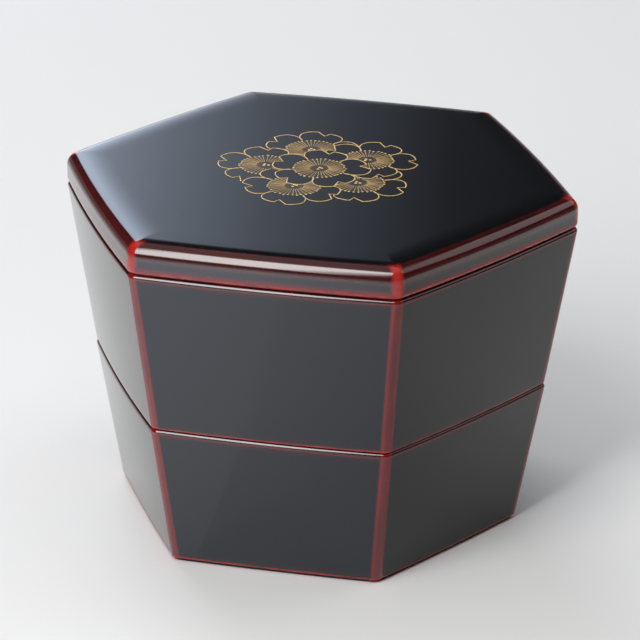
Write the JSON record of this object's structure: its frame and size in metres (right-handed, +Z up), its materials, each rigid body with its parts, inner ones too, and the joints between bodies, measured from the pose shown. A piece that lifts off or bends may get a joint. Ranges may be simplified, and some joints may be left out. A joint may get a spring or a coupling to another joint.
{
  "type": "hexagonal tiered lunch box",
  "caption": "Two-tier hexagonal lunch box with flared walls, nesting tiers and a lift-off lid, in black lacquer with red edges and gold blossoms on top.",
  "frame": {"origin": "on the ground, at the middle of the lower tier's foot", "axes": "+Z up; two opposite corners of the hexagon on the X axis, two flat sides facing +Y and -Y"},
  "size_m": [0.1994, 0.177, 0.1364],
  "materials": {
    "lacquer": "gloss black lacquer over red, the red showing on edges and corners",
    "gold": "fine painted gold lines, satin"
  },
  "bodies": {
    "lower_tier": {"lower_tier": "lacquer"},
    "upper_tier": {"upper_tier": "lacquer"},
    "lid": {"lid": "lacquer"}
  },
  "joints": [
    {"name": "upper_tier_lift", "type": "slide", "parent": "lower_tier", "child": "upper_tier", "axis": [0, 0, 1], "range_m": [0, 0.1]},
    {"name": "lid_lift", "type": "slide", "parent": "upper_tier", "child": "lid", "axis": [0, 0, 1], "range_m": [0, 0.1]}
  ]
}
